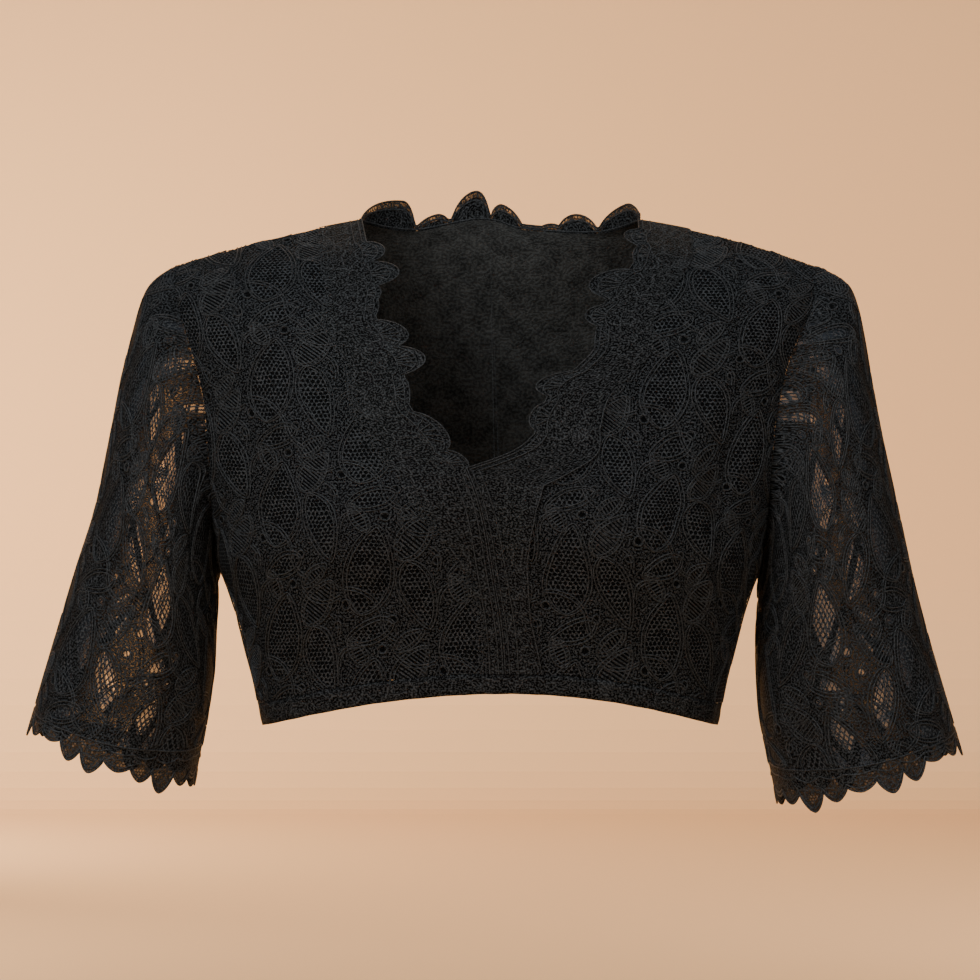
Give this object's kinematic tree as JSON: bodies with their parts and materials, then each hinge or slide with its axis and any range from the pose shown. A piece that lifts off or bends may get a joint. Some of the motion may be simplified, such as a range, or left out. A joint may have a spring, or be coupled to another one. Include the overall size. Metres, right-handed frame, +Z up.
{
  "type": "dirndl blouse",
  "caption": "Cropped black lace dirndl blouse with a deep scalloped V neck, a scalloped border standing at the back neck and flared open sleeves to the elbow, in worn form.",
  "frame": {"origin": "midway between the neck points of the shoulder seams, where the wearer's shoulders hold the blouse up", "axes": "+Z up, the front faces -Y, +X towards the wearer's left sleeve"},
  "size_m": [0.6101, 0.2169, 0.4027],
  "materials": {
    "black_lace": "matte",
    "black_jersey": "matte",
    "black_galloon": "matte"
  },
  "bodies": {
    "root": {"front": "black_lace", "back": "black_lace", "front_lining": "black_jersey", "back_lining": "black_jersey", "sleeve_left": "black_lace", "sleeve_right": "black_lace", "sleeve_edging_left": "black_galloon", "sleeve_edging_right": "black_galloon", "neck_border_left": "black_galloon", "neck_border_right": "black_galloon", "neck_border_back": "black_galloon", "hem_casing_front": "black_galloon", "hem_casing_back": "black_galloon"}
  },
  "joints": []
}
